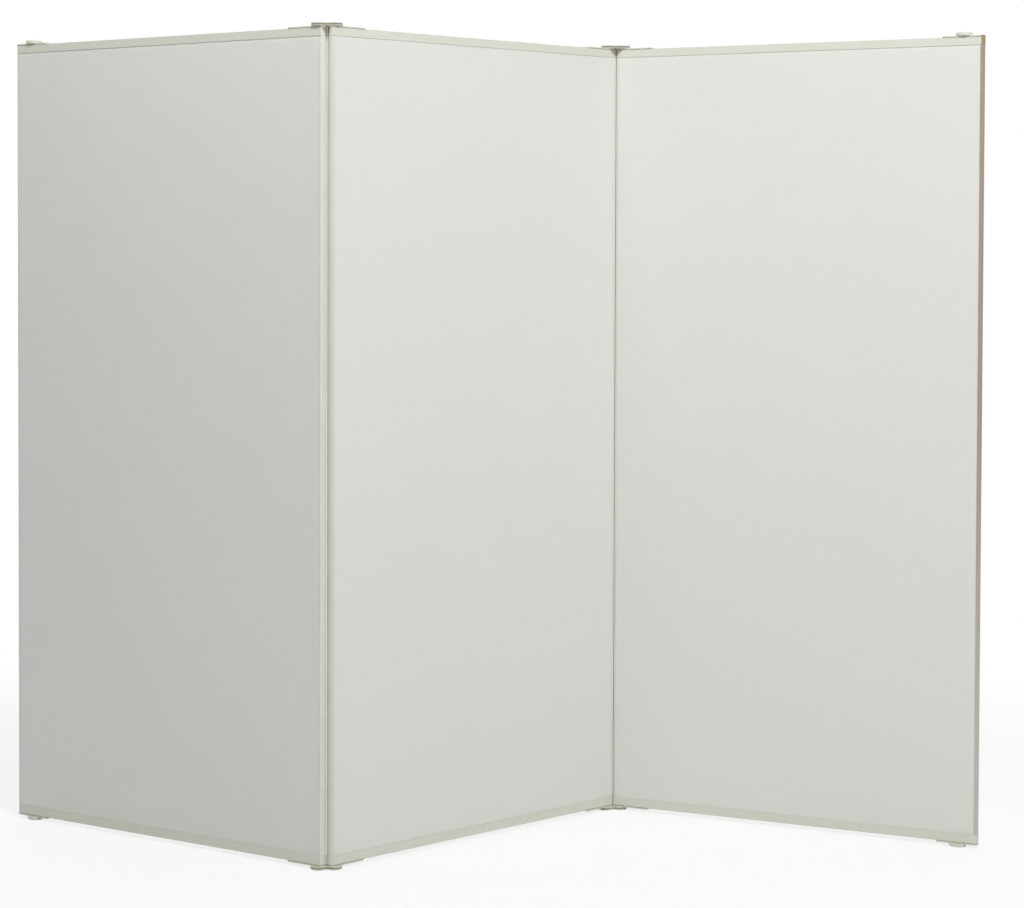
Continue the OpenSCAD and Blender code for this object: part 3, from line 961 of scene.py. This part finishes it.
class SCREEN_OT_cloth(bpy.types.Operator):
    """Stretch a sheet of fabric over the front and the back of each panel"""

    bl_idname = "screen_maker.cloth"
    bl_label = "Fabric"

    def execute(self, context):
        cloth = context.scene.screen_cloth
        finish = fabric_finish(cloth)
        for panel in PANELS:
            for side in ("front", "back"):
                make_sheet(panel, side, finish, cloth)
        return {"FINISHED"}


class SCREEN_OT_rails(bpy.types.Operator):
    """Make the rails along the top and the bottom of each panel"""

    bl_idname = "screen_maker.rails"
    bl_label = "Rails"

    def execute(self, context):
        looks = context.scene.screen_hardware
        # both marks are painted shade: along the seam, and in a wedge below the upper gears
        marks = [shaded_seam(looks.seam_shade), shadow_under_gears(looks.shadow_under_gears)]
        finish = plastic_finish(
            "RailPlastic", looks.rail, looks.rail_aged, roughness=0.45, marks=marks
        )
        for node in nodes_ending("_rail"):
            make_mapped_piece(node, finish, looks.extruded_edge)
        return {"FINISHED"}


class SCREEN_OT_edges(bpy.types.Operator):
    """Make the round-nosed profiles along the panels' upright edges"""

    bl_idname = "screen_maker.edges"
    bl_label = "Edge profiles"

    def execute(self, context):
        looks = context.scene.screen_hardware
        # a painted shadow below the upper gears
        darkness = [shadow_under_gears(looks.shadow_under_gears)]
        # painted shade on the free end's edge profile
        end_shade_marks = [painted_end_shade(looks.edge_shaded)]
        clean = plastic_finish(
            "EdgePlastic", looks.edge, looks.edge_aged, roughness=0.42, marks=darkness
        )
        end_shade = plastic_finish(
            "ShadedEdgePlastic", looks.edge, looks.edge_aged, roughness=0.42, marks=end_shade_marks
        )
        for node in nodes_ending("_edge"):
            finish = end_shade if node == SHADED_END_EDGE else clean
            make_soft_piece(node, finish, looks.extruded_edge)
        return {"FINISHED"}


class SCREEN_OT_caps(bpy.types.Operator):
    """Make the moulded caps on the panels' corners"""

    bl_idname = "screen_maker.caps"
    bl_label = "Corner caps"

    def execute(self, context):
        looks = context.scene.screen_hardware
        # the seam's line and the wedge below the upper gears are painted shade
        marks = [
            plate_colour(looks.plate),
            shaded_seam(looks.seam_shade),
            shadow_under_gears(looks.shadow_under_gears),
        ]
        clean = plastic_finish(
            "CapPlastic", looks.rail, looks.rail_aged, roughness=0.38, marks=marks
        )
        # painted shade on the free corner's nose
        marks.append(painted_end_shade(looks.cap_shaded, nose_only=True))
        end_shade = plastic_finish(
            "ShadedCapPlastic", looks.rail, looks.rail_aged, roughness=0.38, marks=marks
        )
        for node in nodes_ending("_cap"):
            finish = end_shade if node == SHADED_END_CAP else clean
            make_mapped_piece(node, finish, looks.moulded_edge)
        return {"FINISHED"}


class SCREEN_OT_gears(bpy.types.Operator):
    """Make the hinges' gears"""

    bl_idname = "screen_maker.gears"
    bl_label = "Gears"

    def execute(self, context):
        looks = context.scene.screen_hardware
        # grease and painted shade in the tooth gaps
        marks = [grease_and_shade_in_gaps(looks.darkness)]
        finish = plastic_finish(
            "GearPlastic", looks.gear, looks.gear_aged, roughness=0.40, marks=marks
        )
        for node in nodes_ending("_gear"):
            make_gear(node, finish, looks.tooth_edge)
        return {"FINISHED"}


class SCREEN_OT_plates(bpy.types.Operator):
    """Make the hinges' link plates and the discs on the free corners"""

    bl_idname = "screen_maker.plates"
    bl_label = "Link plates and discs"

    def execute(self, context):
        looks = context.scene.screen_hardware
        finish = plastic_finish("PlatePlastic", looks.plate, looks.plate_aged, roughness=0.36)
        for node in nodes_ending("_plate", "_disc"):
            make_soft_piece(node, finish, looks.moulded_edge)
        return {"FINISHED"}


class SCREEN_OT_screws(bpy.types.Operator):
    """Finish the screws"""

    bl_idname = "screen_maker.screws"
    bl_label = "Screws"

    def execute(self, context):
        finish = steel_finish(context.scene.screen_hardware)
        for node in nodes_ending("_screws"):
            repaint(node, finish)
        return {"FINISHED"}


STEPS = (  # in the order in which they run
    SCREEN_OT_studio,
    SCREEN_OT_boards,
    SCREEN_OT_cloth,
    SCREEN_OT_rails,
    SCREEN_OT_edges,
    SCREEN_OT_caps,
    SCREEN_OT_gears,
    SCREEN_OT_plates,
    SCREEN_OT_screws,
)


class SCREEN_PT_maker(bpy.types.Panel):
    """Lists the steps and the settings"""

    bl_idname = "SCREEN_PT_maker"
    bl_label = "Folding Screen"
    bl_space_type = "VIEW_3D"
    bl_region_type = "UI"
    bl_category = "Screen"

    def draw(self, context):
        for step in STEPS:
            self.layout.operator(step.bl_idname)
        for group in GROUPS:
            settings = getattr(context.scene, group)
            box = self.layout.box()
            for name in settings.__annotations__:
                box.prop(settings, name)


# ---------------------------------------------------------------- running it


def register():
    for group in GROUPS.values():
        bpy.utils.register_class(group)
    for step in STEPS:
        bpy.utils.register_class(step)
    bpy.utils.register_class(SCREEN_PT_maker)
    for name, group in GROUPS.items():
        setattr(bpy.types.Scene, name, bpy.props.PointerProperty(type=group))


def unregister():
    for name in GROUPS:
        delattr(bpy.types.Scene, name)
    bpy.utils.unregister_class(SCREEN_PT_maker)
    for made in (*reversed(STEPS), *GROUPS.values()):
        bpy.utils.unregister_class(made)


def main():
    register()
    for step in STEPS:
        family, name = step.bl_idname.split(".")
        getattr(getattr(bpy.ops, family), name)()


if __name__ == "__main__":
    main()
